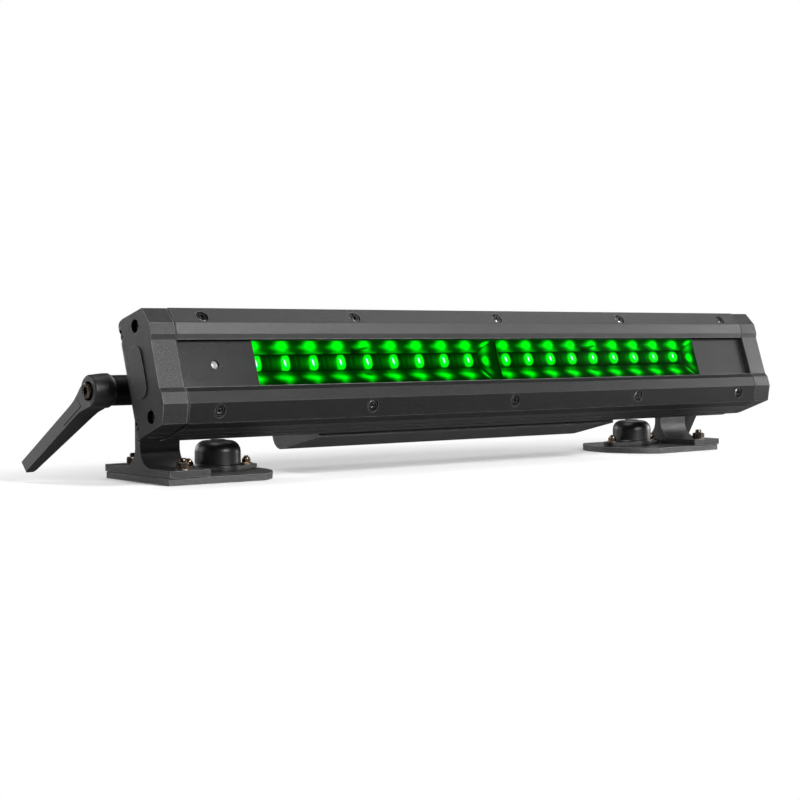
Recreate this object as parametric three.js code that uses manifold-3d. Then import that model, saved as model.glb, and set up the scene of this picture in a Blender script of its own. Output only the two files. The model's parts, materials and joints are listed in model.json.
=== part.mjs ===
// Outdoor LED batten on two tilting feet, in millimetres, +Z up.
// The lamp leans back on a horizontal axis behind it. X runs along the lamp, -Y is its front.
import * as THREE from 'three';
import { mergeVertices } from 'three/addons/utils/BufferGeometryUtils.js';
import { ConvexGeometry } from 'three/addons/geometries/ConvexGeometry.js';
import Module from 'manifold-3d';

const wasm = await Module();
wasm.setup();

// ---- driving dimensions ----

// Stance: the tilt axis runs along X behind the lamp.
const tilt = THREE.MathUtils.degToRad(18.45);
const pivotHeight = 57.5;
const pivotY = 11.26;
const pivotDepth = 63.4;
const pivotRise = 3.0;
const gap = 0.3;

// Lamp section: y is the depth behind the front plane, z is up along the front.
const lampHalfLength = 275;
const capWidth = 16.7;
const sealWidth = 0.8;
const frontLip = 14.7;
const frameFace = -1.5;
const frameInner = 18;
const frameOuter = 25.1;
const stripDepth = 4;
const lampHalfHeight = 37.6;
const stripEnd = 36.2;
const seamDepth = 13;
const housingDepth = 40;
const housingHalfLength = lampHalfLength - capWidth - sealWidth - 0.4;

// Optics.
const glassFront = 0.5;
const glassThickness = 3;
const ledPitch = 21.86;
const ledsPerModule = 9;
const firstLed = 17.5;
const moduleLength = 209.2;
const moduleStart = 0.3;
const ledRise = 5;
const troughFront = 5.4;
const troughFloor = 15.4;
const boardDepth = 16.6;

// Socket screws of the clamp rails, placed along the lamp from its middle.
const railScrewX = [-236, -120.4, 3.3, 125.5, 238.1];
const railScrewAlongStrip = 0.42;
const railScrewHeadRadius = 3.5;
const railScrewHead = 2.6;
const railScrewRecess = 3;
const railScrewRadius = 2;
const railScrewLength = 9.5;

// Driver box on the lamp's back.
const boxHalfLength = 137;
const boxFront = 41.5;
const boxBack = 92.5;
const boxWall = 2.6;
const socketX = [-107, -75, 75, 107];
const buttonX = [-19.5, -6.5, 6.5, 19.5];
const buttonZ = -13;
const buttonRadius = 4;
const displayZ = 8;
const ventX = 47;

// Feet.
const footOuter = 251.9;
const bracketWidth = 28.7;
const plateHalfDepth = 40.4;
const plateShift = 1.05;
const plateThickness = 4.25;
const plateStraight = 182.6;
const plateTip = 159.3;
const flangeTop = 8.95;
const webHalf = 3.05;
const webFillet = 12.5;
const knuckleRadius = 11;
const boltOffset = 30;
const boltX = footOuter - bracketWidth / 2;
const receptacleX = 193;
const receptacleScrewOffset = 22;

// Clamping levers: "reach" is measured outwards from the end cap's face.
const leverAngle = THREE.MathUtils.degToRad(42.8);
const leverLength = 66.6;
const hubInner = -3.8;
const hubOuter = 10.8;
const hubRadius = 10.75;
const hubFaceRadius = 9.9;
const studRadius = 4;
const insertRadius = 6.5;
const toothedRadius = 6;
const ledgeInner = 0;
const ledgeOuter = 1.2;
const counterboreRadius = 6.05;
const screwHeadUnderside = 6.8;
const screwHeadTop = 12.8;
const earOuter = 222.8;
const earInner = 212.8;

// ---- geometry helpers ----

const axisX = new THREE.Vector3(1, 0, 0);
const axisY = new THREE.Vector3(0, 1, 0);
const axisZ = new THREE.Vector3(0, 0, 1);

function toSolid(geometry) {
  const bare = geometry.clone();
  bare.deleteAttribute('normal');
  bare.deleteAttribute('uv');
  const merged = mergeVertices(bare, 1e-4);
  return new wasm.Manifold(new wasm.Mesh({
    numProp: 3,
    vertProperties: new Float32Array(merged.attributes.position.array),
    triVerts: new Uint32Array(merged.index.array),
  }));
}

function toGeometry(solid) {
  const mesh = solid.getMesh();
  const geometry = new THREE.BufferGeometry();
  geometry.setAttribute('position', new THREE.BufferAttribute(mesh.vertProperties, 3));
  geometry.setIndex(new THREE.BufferAttribute(mesh.triVerts, 1));
  return geometry;
}

function join(...geometries) {
  return toGeometry(geometries.map(toSolid).reduce((total, next) => total.add(next)));
}

function cut(geometry, ...tools) {
  return toGeometry(tools.map(toSolid).reduce((rest, tool) => rest.subtract(tool), toSolid(geometry)));
}

function common(first, second) {
  return toGeometry(toSolid(first).intersect(toSolid(second)));
}

// A closed outline, always counter-clockwise.
function shapeOf(points) {
  const outline = points.map(([x, y]) => new THREE.Vector2(x, y));
  return new THREE.Shape(THREE.ShapeUtils.isClockWise(outline) ? outline.reverse() : outline);
}

function extrude(shape, depth, curveSegments) {
  return new THREE.ExtrudeGeometry(shape, { depth, curveSegments, bevelEnabled: false });
}

// A section in the Y-Z plane carried along X from one value to another.
function alongX(shape, fromX, toX, curveSegments = 8) {
  const turn = new THREE.Matrix4().makeBasis(axisY, axisZ, axisX);
  return extrude(shape, toX - fromX, curveSegments).applyMatrix4(turn).translate(fromX, 0, 0);
}

// An outline in the X-Y plane carried along Z.
function alongZ(shape, fromZ, toZ, curveSegments = 8) {
  return extrude(shape, toZ - fromZ, curveSegments).translate(0, 0, fromZ);
}

// An outline in the X-Z plane carried along Y.
function alongY(shape, fromY, toY, curveSegments = 8) {
  const turn = new THREE.Matrix4().makeRotationX(Math.PI / 2);
  return extrude(shape, toY - fromY, curveSegments).applyMatrix4(turn).translate(0, toY, 0);
}

function block(low, high) {
  const size = high.map((value, i) => value - low[i]);
  const middle = high.map((value, i) => (value + low[i]) / 2);
  return new THREE.BoxGeometry(...size).translate(...middle);
}

// A body of revolution: [radius, distance along the axis] pairs, starting and ending on the axis.
function turned(profile, axis, segments = 24) {
  const points = profile.map(([radius, along]) => new THREE.Vector2(radius, along));
  const turn = new THREE.Quaternion().setFromUnitVectors(axisY, axis);
  return new THREE.LatheGeometry(points, segments).applyQuaternion(turn);
}

// A round bar from one distance to another along an axis through the origin.
function bar(radius, from, to, axis, segments = 16) {
  return turned([[0, from], [radius, from], [radius, to], [0, to]], axis, segments);
}

function hexBar(acrossFlats, from, to, axis) {
  return bar(acrossFlats / Math.sqrt(3), from, to, axis, 6);
}

// Swaps left and right, keeping the faces pointing out.
function mirrored(geometry) {
  const flipped = (geometry.index ? geometry.toNonIndexed() : geometry.clone()).scale(-1, 1, 1);
  const position = flipped.attributes.position;
  const spare = new THREE.Vector3();
  const other = new THREE.Vector3();
  for (let i = 0; i < position.count; i += 3) {
    spare.fromBufferAttribute(position, i + 1);
    other.fromBufferAttribute(position, i + 2);
    position.setXYZ(i + 1, other.x, other.y, other.z);
    position.setXYZ(i + 2, spare.x, spare.y, spare.z);
  }
  return flipped;
}

// ---- materials ----

function finish(color, roughness, metalness) {
  return () => new THREE.MeshStandardMaterial({ color, roughness, metalness });
}

const powderCoat = finish(0x3a3a3b, 0.65, 0.1);
const blackRubber = finish(0x0c0c0c, 0.8, 0);
const blackPlastic = finish(0x101010, 0.3, 0);
const clearGlass = finish(0x2b2b2b, 0.05, 0);
const reflectorFoil = finish(0x0e5a16, 0.15, 0.9);
const whiteBoard = finish(0xd8dcd8, 0.5, 0);
const greenBoard = finish(0x1d5a34, 0.5, 0);
const blackSteel = finish(0x1b1b1c, 0.4, 0.8);
const bronzeSteel = finish(0x6e5a4a, 0.35, 0.9);
const zincSteel = finish(0x9a9a96, 0.35, 0.9);
const leverCoat = finish(0x3d3d3d, 0.5, 0.1);
const grilledSteel = finish(0x8b8e90, 0.4, 0.9);

// ---- scene groups ----

const batten = new THREE.Group();
const lamp = new THREE.Group();
const pivot = new THREE.Group();
pivot.position.set(0, pivotY, pivotHeight);
pivot.rotation.x = -tilt;
lamp.position.set(0, -pivotDepth, -pivotRise);
pivot.add(lamp);
batten.add(pivot);

function addPart(parent, name, geometry, material) {
  const mesh = new THREE.Mesh(geometry, material());
  mesh.name = name;
  parent.add(mesh);
  return mesh;
}

// ---- lamp: housing, rails and end caps ----

const grooveWidth = 1.6;
const grooveDepth = 1.3;
const topGrooveY = [21.9];
const bottomGrooveY = [21.9, 29.3];
const backGrooveZ = [-28, -20, -12, -4, 4, 12, 20];
const topCorner = 12;
const bottomCorner = 4;

// Grooves along the top (side 1) or the bottom (side -1) of a section, listed front to back.
function groovePoints(side, outer) {
  return (side > 0 ? topGrooveY : bottomGrooveY).flatMap((y) => [
    [y - grooveWidth / 2, side * outer],
    [y - grooveWidth / 2, side * (outer - grooveDepth)],
    [y + grooveWidth / 2, side * (outer - grooveDepth)],
    [y + grooveWidth / 2, side * outer],
  ]);
}

// The wide rounded corner at the top of the back (side 1), and the tighter one at the bottom.
function backCorner(side, depth, half) {
  const radius = side > 0 ? topCorner : bottomCorner;
  const steps = side > 0 ? 7 : 4;
  return Array.from({ length: steps + 1 }, (_, i) => {
    const angle = (i / steps) * Math.PI / 2;
    return [
      depth - radius + radius * Math.sin(angle),
      side * (half - radius + radius * Math.cos(angle)),
    ];
  });
}

function backGrooves() {
  return [...backGrooveZ].reverse().flatMap((z) => [
    [housingDepth, z + grooveWidth],
    [housingDepth - grooveDepth, z + grooveWidth],
    [housingDepth - grooveDepth, z - grooveWidth],
    [housingDepth, z - grooveWidth],
  ]);
}

const shelfDepth = 5;
const shelfInner = 15.6;
const webDepth = 19;

// The front of the housing section on one side, from the trough floor out to the rail seam.
function housingFront(side) {
  return [
    [webDepth, side * shelfInner],
    [shelfDepth, side * shelfInner],
    [shelfDepth, side * 20.3],
    [4, side * 20.3],
    [4, side * 23.9],
    [9, side * 33.1],
    [seamDepth + gap, side * 33.1],
    [seamDepth + gap, side * (lampHalfHeight - 0.3)],
  ];
}

function housingShape() {
  const shape = shapeOf([
    ...housingFront(1),
    ...groovePoints(1, lampHalfHeight),
    ...backCorner(1, housingDepth, lampHalfHeight),
    ...backGrooves(),
    ...backCorner(-1, housingDepth, lampHalfHeight).reverse(),
    ...groovePoints(-1, lampHalfHeight).reverse(),
    ...housingFront(-1).reverse(),
  ]);
  const chamber = [[21.5, 34.3], [21.5, -34.3], [27, -34.3], [27, -25], [36.8, -25], [36.8, 23],
    [27, 23], [27, 34.3]];
  shape.holes.push(shapeOf(chamber));
  for (const side of [1, -1]) {
    shape.holes.push(shapeOf([[8, side * 18.2], [8, side * 21.2], [18.8, side * 21.2], [18.8, side * 18.2]]));
  }
  return shape;
}

// The outward direction and centre of a clamp rail's sloping strip.
function stripFrame(side) {
  const start = new THREE.Vector3(0, frameFace, frameOuter * side);
  const end = new THREE.Vector3(0, stripDepth, stripEnd * side);
  const along = end.clone().sub(start);
  const outward = new THREE.Vector3(0, -Math.abs(along.z), side * along.y).normalize();
  const centre = start.clone().addScaledVector(along, railScrewAlongStrip);
  return { outward, centre };
}

function railScrewHole(side, x, radius, from, to, segments) {
  const { outward, centre } = stripFrame(side);
  return bar(radius, from, to, outward, segments).translate(x, centre.y, centre.z);
}

const capScrews = [[14.9, 28.3], [14.9, -28.3], [34.4, 28], [34.6, -30]];

function housing() {
  const body = alongX(housingShape(), -housingHalfLength, housingHalfLength);
  const holes = [];
  for (const side of [1, -1]) {
    for (const x of railScrewX) {
      holes.push(railScrewHole(side, x, railScrewRadius + gap, -13.2, -3, 8));
    }
  }
  for (const [y, z] of capScrews) {
    const port = bar(1.9, -14, 1, axisX, 8);
    holes.push(port.clone().translate(housingHalfLength, y, z));
    holes.push(port.clone().rotateY(Math.PI).translate(-housingHalfLength, y, z));
  }
  return cut(body, ...holes);
}

function clampRail(side) {
  const section = [
    [0.15, frontLip], [frameFace, frameInner], [frameFace, frameOuter], [stripDepth, stripEnd],
    [seamDepth, lampHalfHeight - 0.3], [seamDepth, 33.4], [8.9, 33.4], [3.7, 23.8], [3.7, 20], [0.2, 20],
  ].map(([y, z]) => [y, z * side]);
  const rail = alongX(shapeOf(section), -housingHalfLength, housingHalfLength);
  const holes = railScrewX.flatMap((x) => [
    railScrewHole(side, x, railScrewHeadRadius + 0.7, -railScrewRecess, 2, 18),
    railScrewHole(side, x, railScrewRadius + gap, -9, 0, 8),
  ]);
  return cut(rail, ...holes);
}

function railScrew(side, x) {
  const { outward, centre } = stripFrame(side);
  const seat = -railScrewRecess + 0.1;
  const top = seat + railScrewHead;
  const head = turned([
    [0, seat - railScrewLength], [railScrewRadius, seat - railScrewLength], [railScrewRadius, seat],
    [railScrewHeadRadius, seat], [railScrewHeadRadius, top - 0.35], [railScrewHeadRadius - 0.35, top],
    [0, top],
  ], outward, 14);
  return cut(head, hexBar(3, top - 1.5, top + 1, outward)).translate(x, centre.y, centre.z);
}

// The cap follows the lamp's section, a little inside it at the top, the back and the bottom.
function capSection(inset) {
  const half = lampHalfHeight - inset;
  const back = housingDepth - inset;
  const front = [
    [0, frontLip], [frameFace, frameInner], [frameFace, frameOuter - 0.1],
    [stripDepth, stripEnd - inset * 0.6],
  ];
  return shapeOf([
    ...front,
    ...backCorner(1, back, half),
    ...backCorner(-1, back, half).reverse(),
    ...front.map(([y, z]) => [y, -z]).reverse(),
  ]);
}

// Left cap: its outer face curves round towards the back.
function endCap() {
  const inner = -(lampHalfLength - capWidth);
  const outer = -lampHalfLength;
  const back = housingDepth;
  const sweep = 8;
  const plan = new THREE.Shape();
  plan.moveTo(outer, frameFace - 1);
  plan.lineTo(inner, frameFace - 1);
  plan.lineTo(inner, back);
  plan.lineTo(outer + sweep, back);
  plan.absarc(outer + sweep, back - sweep - 0.6, sweep, Math.PI / 2, Math.PI, false);
  plan.closePath();
  const outerForm = common(
    alongX(capSection(0.6), outer, inner),
    alongZ(plan, -lampHalfHeight, lampHalfHeight, 10),
  );
  const pocket = block([outer + 6, 5, -22], [inner + 1, 30, 22]);
  const screwHoles = capScrews.flatMap(([y, z]) => [
    bar(4.2, outer - 1, outer + 6, axisX, 18).translate(0, y, z),
    bar(2.2, outer + 5, inner + 1, axisX, 8).translate(0, y, z),
  ]);
  const grooves = bottomGrooveY.map((y) => block(
    [outer + 5, y - grooveWidth / 2, -lampHalfHeight - 1],
    [inner + 1, y + grooveWidth / 2, -lampHalfHeight + 1.2],
  ));
  return join(cut(outerForm, pocket, ...screwHoles, ...grooves), capPad(outer));
}

// The low oval pad on a cap's outer face.
function capPad(outer) {
  const halfHeight = 16.3;
  const radius = 7.2;
  const middle = 19.9;
  const oval = new THREE.Shape();
  oval.absarc(middle, halfHeight - radius + 1, radius, 0, Math.PI, false);
  oval.absarc(middle, -halfHeight + radius + 1, radius, Math.PI, 2 * Math.PI, false);
  oval.closePath();
  return alongX(oval, outer - 0.7, outer + 2, 12);
}

function capSeal() {
  const shape = capSection(0.9);
  const inner = [[6, 22], [6, -22], [30, -22], [30, 22]];
  shape.holes.push(shapeOf(inner));
  for (const [y, z] of capScrews) {
    const hole = new THREE.Path();
    hole.absarc(y, z, 2.4, 0, 2 * Math.PI, false);
    shape.holes.push(hole);
  }
  const start = -(lampHalfLength - capWidth - 0.2);
  return alongX(shape, start, start + sealWidth - 0.1, 6);
}

// ---- lamp: optics ----

function glassPane() {
  return block([-housingHalfLength + 0.4, glassFront, -19.4],
    [housingHalfLength - 0.4, glassFront + glassThickness, 19.4]);
}

function glassGasket() {
  const ring = shapeOf([[-256.3, -19.2], [256.3, -19.2], [256.3, 19.2], [-256.3, 19.2]]);
  ring.holes.push(shapeOf([[-248, -15.9], [248, -15.9], [248, 15.9], [-248, 15.9]]));
  return alongY(ring, glassFront + glassThickness + 0.25, shelfDepth - 0.25);
}

// The right module: a bowl-sided trough with a slot for the LEDs along its floor.
function reflector() {
  const start = moduleStart;
  const end = moduleStart + moduleLength;
  const rings = [
    { y: troughFront - 1, inset: 0.7, low: -frontLip, high: frontLip },
    { y: troughFront, inset: 0.7, low: -frontLip, high: frontLip },
    { y: 11, inset: 3.2, low: -10.2, high: 13.4 },
    { y: troughFloor, inset: 8.2, low: ledRise - 4.4, high: ledRise + 4.4 },
  ];
  const corners = rings.flatMap(({ y, inset, low, high }) => [
    new THREE.Vector3(start + inset, y, low),
    new THREE.Vector3(start + inset, y, high),
    new THREE.Vector3(end - inset, y, low),
    new THREE.Vector3(end - inset, y, high),
  ]);
  const slot = block([start + 8.3, troughFloor - 1, ledRise - 4.3],
    [end - 8.3, boardDepth, ledRise + 4.3]);
  const blank = block([start, troughFront, -15.2], [end, boardDepth - 0.4, 15.2]);
  return cut(blank, new ConvexGeometry(corners), slot);
}

function ledPositions() {
  return Array.from({ length: ledsPerModule }, (_, i) => firstLed + i * ledPitch);
}

// A circuit board with nine LEDs: a square package with a low dome each.
function ledBoard() {
  const base = block([moduleStart, boardDepth, -15], [moduleStart + moduleLength, boardDepth + 1.6, 15]);
  const leds = ledPositions().flatMap((x) => [
    block([x - 2.2, boardDepth - 0.9, ledRise - 2.2], [x + 2.2, boardDepth + 0.5, ledRise + 2.2]),
    turned([[0, 0], [1.9, 0], [1.9, 1], [1.35, 2.1], [0, 2.6]], axisY.clone().negate(), 8)
      .translate(x, boardDepth - 0.6, ledRise),
  ]);
  return join(base, ...leds);
}

function remoteReceiver() {
  const x = -231.5;
  const lens = turned([[0, -4.6], [2.8, -4.6], [2.8, 0], [2.2, 0.7], [0, 1]], axisY.clone().negate(), 16)
    .translate(x, 5, 0);
  return join(lens, block([x - 7, 9, -6], [x + 7, 10.4, 6]));
}

// ---- lamp: driver box ----

function boxSection(front, back, inset) {
  const radius = 9 - inset;
  const half = 38.4 - inset;
  const taper = 3.6;
  const corner = (side) => Array.from({ length: 5 }, (_, i) => {
    const angle = (i / 4) * Math.PI / 2;
    return [
      back - radius + radius * Math.sin(angle),
      side * (half - taper - radius + radius * Math.cos(angle)),
    ];
  });
  return shapeOf([[front, half], ...corner(1), ...corner(-1).reverse(), [front, -half]]);
}

function driverCover() {
  const shell = alongX(boxSection(boxFront, boxBack, 0), -boxHalfLength, boxHalfLength);
  const inside = alongX(boxSection(boxFront - 1, boxBack - boxWall, boxWall),
    -boxHalfLength + boxWall, boxHalfLength - boxWall);
  const display = block([-20, boxBack - 5, displayZ - 9], [20, boxBack + 1, displayZ + 9]);
  const round = (radius, x, z, segments) =>
    bar(radius, boxBack - 5, boxBack + 1, axisY, segments).translate(x, 0, z);
  return cut(shell, inside, display,
    ...socketX.map((x) => round(8.1, x, 0, 20)),
    ...buttonX.map((x) => round(buttonRadius + gap, x, buttonZ, 16)),
    round(4.1, ventX, buttonZ, 12));
}

function driverGasket() {
  const ring = shapeOf([[-136, -37], [136, -37], [136, 37], [-136, 37]]);
  ring.holes.push(shapeOf([[-132.5, -33.5], [132.5, -33.5], [132.5, 33.5], [-132.5, 33.5]]));
  return alongY(ring, housingDepth + 0.25, boxFront - 0.25);
}

// A potted supply block with ribs across its back.
function powerSupply() {
  const ribs = Array.from({ length: 7 }, (_, i) => {
    const x = -66 + i * 22;
    return block([x - 2, 66, -24], [x + 2, 70, 24]);
  });
  return join(block([-85, 44, -27], [85, 67, 27]), ...ribs);
}

// The board behind the display and the buttons, with a switch under each button.
function controlBoard() {
  const display = block([-18, 82, displayZ - 7.5], [18, boxBack - 3.6, displayZ + 7.5]);
  const switches = buttonX.map((x) => block([x - 2, 82, buttonZ - 2], [x + 2, 86.2, buttonZ + 2]));
  const chips = [-38, 32].map((x) => block([x - 5, 82, 4], [x + 5, 85.4, 14]));
  return join(block([-48, 81, -24], [48, 82.6, 24]), display, ...switches, ...chips);
}

function displayWindow() {
  return block([-19.6, boxBack - 2.4, displayZ - 8.6], [19.6, boxBack + 0.6, displayZ + 8.6]);
}

function menuButton(x) {
  const stem = [[0, 87.2], [2, 87.2], [2, 88.6], [buttonRadius, 88.6]];
  const cap = [[buttonRadius, boxBack + 1.4], [buttonRadius - 0.8, boxBack + 2.2], [0, boxBack + 2.4]];
  return turned([...stem, ...cap], axisY, 16).translate(x, 0, buttonZ);
}

// A round panel socket: flange, threaded barrel and an open well for the plug.
function panelSocket(x, pinCount) {
  const barrel = turned([
    [0, 78], [7.8, 78], [7.8, boxBack + gap], [10.5, boxBack + gap], [10.5, boxBack + 2.8],
    [8.6, boxBack + 2.8], [8.6, boxBack + 9], [6.2, boxBack + 9], [6.2, boxBack - 1], [0, boxBack - 1],
  ], axisY, 20);
  const pins = Array.from({ length: pinCount }, (_, i) => {
    const angle = (i / pinCount) * 2 * Math.PI;
    return bar(0.8, boxBack - 2, boxBack + 1.4, axisY, 5)
      .translate(3.6 * Math.cos(angle), 0, 3.6 * Math.sin(angle));
  });
  return join(barrel, ...pins).translate(x, 0, 0);
}

function ventPlug() {
  return turned([[0, 87], [3.7, 87], [3.7, boxBack + gap], [6, boxBack + gap], [6, boxBack + 2.4],
    [5, boxBack + 3.4], [0, boxBack + 3.4]], axisY, 12).translate(ventX, 0, buttonZ);
}

// ---- lamp: left pivot lug, an ear on a base plate behind the housing ----

function pivotLug() {
  const earRadius = 13;
  const baseFront = housingDepth + gap;
  const baseBack = baseFront + 5;
  const ear = new THREE.Shape();
  ear.moveTo(baseFront, pivotRise - 20);
  ear.lineTo(baseBack, pivotRise - 18);
  ear.lineTo(pivotDepth - 3, pivotRise - earRadius + 0.35);
  ear.absarc(pivotDepth, pivotRise, earRadius, -1.8, 1.8, false);
  ear.lineTo(baseBack, pivotRise + 18);
  ear.lineTo(baseFront, pivotRise + 20);
  ear.closePath();
  const base = block([-earInner - 1, baseFront, pivotRise - 20], [-178, baseBack, pivotRise + 20]);
  const bore = bar(studRadius + gap, -earOuter - 1, -earInner + 1, axisX, 16)
    .translate(0, pivotDepth, pivotRise);
  const screwHoles = [-12, 12].map((z) =>
    bar(2.7, baseFront - 1, baseBack + 1, axisY, 12).translate(-192, 0, pivotRise + z));
  return cut(join(alongX(ear, -earOuter, -earInner, 14), base), bore, ...screwHoles);
}

// ---- left foot, around the pivot axis in Y and the floor in Z ----

function plateOutline() {
  const rise = plateHalfDepth;
  const run = plateStraight - plateTip;
  const radius = (rise * rise + run * run) / (2 * run);
  const centre = -plateTip - radius;
  const half = Math.asin(rise / radius);
  const corner = 2;
  const outline = new THREE.Shape();
  outline.moveTo(-footOuter + corner, -rise);
  outline.absarc(centre, 0, radius, -half, half, false);
  outline.lineTo(-footOuter + corner, rise);
  outline.lineTo(-footOuter, rise - corner);
  outline.lineTo(-footOuter, -rise + corner);
  outline.closePath();
  return outline;
}

function footPlate() {
  const plate = alongZ(plateOutline(), 0, plateThickness, 14).translate(0, plateShift, 0);
  const lockHole = bar(9.2, -1, plateThickness + 1, axisZ, 24).translate(-receptacleX, 0, 0);
  const screwHoles = [-1, 1].map((side) => bar(1.8, -1, plateThickness + 1, axisZ, 8)
    .translate(-receptacleX + side * receptacleScrewOffset, 0, 0));
  const countersink = [[0, -1], [5.3, -1], [5.3, 0.2], [2.8, 2.7], [2.8, 6], [0, 6]];
  const boltHoles = [-1, 1].map((side) =>
    turned(countersink, axisZ, 16).translate(-boltX, side * boltOffset, 0));
  return cut(plate, lockHole, ...screwHoles, ...boltHoles);
}

// Inverted T: a flange, a filleted web and a knuckle round the pivot axis.
function tBracket() {
  const low = plateThickness + gap;
  const half = plateHalfDepth - 0.5;
  const filletTop = flangeTop + webFillet;
  const filletEdge = webHalf + webFillet;
  const meet = Math.asin(webHalf / knuckleRadius);
  const section = new THREE.Shape();
  section.moveTo(plateShift - half, low);
  section.lineTo(plateShift + half, low);
  section.lineTo(plateShift + half, flangeTop);
  section.lineTo(filletEdge, flangeTop);
  section.absarc(filletEdge, filletTop, webFillet, -Math.PI / 2, -Math.PI, true);
  section.absarc(0, pivotHeight, knuckleRadius, -Math.PI / 2 + meet, 1.5 * Math.PI - meet, false);
  section.absarc(-filletEdge, filletTop, webFillet, 0, -Math.PI / 2, true);
  section.lineTo(plateShift - half, flangeTop);
  section.closePath();
  const body = alongX(section, -footOuter, -footOuter + bracketWidth, 10);
  const bore = bar(studRadius + gap, -footOuter - 1, -footOuter + bracketWidth + 1, axisX, 16)
    .translate(0, 0, pivotHeight);
  const boltHoles = [-1, 1].map((side) =>
    bar(2.8, 0, 20, axisZ, 12).translate(-boltX, side * boltOffset, 0));
  return cut(body, bore, ...boltHoles);
}

// A countersunk bolt from below with its nut on top of the flange.
function bracketBolt(side) {
  const bolt = turned([[0, 0.2], [4.9, 0.2], [2.5, 2.6], [2.5, 15.2], [1.9, 16], [0, 16]], axisZ, 12);
  const nutLow = flangeTop + gap;
  const nut = common(
    hexBar(8, nutLow, nutLow + 4.2, axisZ).rotateZ(THREE.MathUtils.degToRad(21)),
    turned([[0, nutLow], [4.3, nutLow], [4.7, nutLow + 0.5], [4.7, nutLow + 3.6], [4, nutLow + 4.2],
      [0, nutLow + 4.2]], axisZ, 18),
  );
  return join(bolt, nut).translate(-boltX, side * boltOffset, 0);
}

function diamondOutline(halfLength, tipRadius, middleRadius) {
  const spread = halfLength - tipRadius;
  const lean = Math.asin((middleRadius - tipRadius) / spread);
  const outline = new THREE.Shape();
  outline.absarc(spread, 0, tipRadius, -Math.PI / 2 + lean, Math.PI / 2 - lean, false);
  outline.absarc(0, 0, middleRadius, Math.PI / 2 - lean, Math.PI / 2 + lean, false);
  outline.absarc(-spread, 0, tipRadius, Math.PI / 2 + lean, 1.5 * Math.PI - lean, false);
  outline.absarc(0, 0, middleRadius, 1.5 * Math.PI - lean, 1.5 * Math.PI + lean, false);
  outline.closePath();
  return outline;
}

// The domed cup that takes a truss clamp's quarter-turn stud from below.
function lockReceptacle() {
  const low = plateThickness + gap;
  const flangeHigh = 7.6;
  const shoulder = 7;
  const domeRadius = 14.9;
  const domeTop = 23.8;
  const round = Array.from({ length: 6 }, (_, i) => {
    const angle = (i / 5) * Math.PI / 2;
    return [
      domeRadius - shoulder + shoulder * Math.cos(angle),
      domeTop - shoulder + shoulder * Math.sin(angle),
    ];
  });
  const dome = turned([[0, flangeHigh - 1], [domeRadius + 0.9, flangeHigh - 1],
    [domeRadius + 0.9, flangeHigh + 0.3], [domeRadius, flangeHigh + 1.4], ...round,
    [5.4, domeTop], [5, domeTop + 0.6], [0, domeTop + 0.6]], axisZ, 28);
  const flange = alongZ(diamondOutline(29, 6.5, 16.5), low + 0.9, flangeHigh, 8);
  const foot = alongZ(diamondOutline(28.2, 5.7, 15.7), low, low + 1, 8);
  const well = bar(9.4, 0, domeTop - 3, axisZ, 20);
  const slot = block([-8, -2.8, 0], [8, 2.8, 20]);
  const shelf = cut(bar(10.5, 10, 12.5, axisZ, 20), slot);
  const screwHoles = [-1, 1].map((side) =>
    bar(1.8, 0, 10, axisZ, 8).translate(side * receptacleScrewOffset, 0, 0));
  return join(cut(join(dome, flange, foot), well, ...screwHoles), shelf).translate(-receptacleX, 0, 0);
}

// The long spacer between the lever and the bracket's knuckle, bored wider for the insert.
function spacerSleeve() {
  const outer = lampHalfLength + hubInner - gap;
  const inner = footOuter + gap;
  const step = 261.7;
  const radius = 9.45;
  return cut(
    turned([[0, -outer], [radius - 0.5, -outer], [radius, -outer + 0.5], [radius, -inner - 0.5],
      [radius - 0.5, -inner], [0, -inner]], axisX, 28),
    bar(insertRadius + gap, -outer - 1, -step, axisX, 20),
    bar(studRadius + gap, -step - 1, -inner + 1, axisX, 16),
  ).translate(0, 0, pivotHeight);
}

// ---- left clamping lever, with X running outwards from the cap's face and the arm along -Z ----

function handleArm() {
  const side = new THREE.Shape();
  side.moveTo(-1, 0);
  side.lineTo(hubOuter, 0);
  side.lineTo(hubOuter, -4);
  side.lineTo(32.2, -leverLength + 1.5);
  side.lineTo(31, -leverLength - 0.2);
  side.lineTo(26.5, -leverLength);
  side.lineTo(-1, -9.8);
  side.closePath();
  const widths = [[9, 0], [8.3, 5.2], [6.4, 9.4], [5, 13.6], [4.65, 18], [4.2, 64.5], [3.1, 68]];
  const plan = shapeOf([
    ...widths.map(([half, along]) => [half, -along]),
    ...widths.map(([half, along]) => [-half, -along]).reverse(),
  ]);
  const planTurn = new THREE.Matrix4().makeBasis(axisY, axisZ, axisX);
  const planPrism = extrude(plan, 45, 4).applyMatrix4(planTurn).translate(-5, 0, 0);
  return common(alongY(side, -12, 12), planPrism);
}

// A low raised panel along the arm's outer face.
function handlePanel() {
  const slope = (32.2 - hubOuter) / (leverLength - 5.5);
  const face = (along) => hubOuter + slope * (along - 4);
  const panel = shapeOf([
    [face(10.5) - 1, -10.5], [face(10.5) + 0.4, -10.5], [face(27) + 0.4, -27], [face(27) - 1, -27],
  ]);
  return alongY(panel, -2.6, 2.6);
}

function leverHandle() {
  const hub = turned([
    [0, hubInner], [hubRadius - 1.2, hubInner], [hubRadius, hubInner + 2], [hubRadius, 1],
    [hubFaceRadius, hubOuter - 0.7], [hubFaceRadius - 0.7, hubOuter], [0, hubOuter],
  ], axisX, 28);
  return cut(
    join(hub, handleArm(), handlePanel()),
    bar(counterboreRadius, ledgeOuter, hubOuter + 20, axisX, 20),
    bar(3.4, hubInner, hubOuter, axisX, 16),
    bar(toothedRadius + gap, hubInner - 1, ledgeInner, axisX, 18),
    bar(insertRadius + gap, hubInner - 1, hubInner + 1.5, axisX, 20),
  );
}

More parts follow.
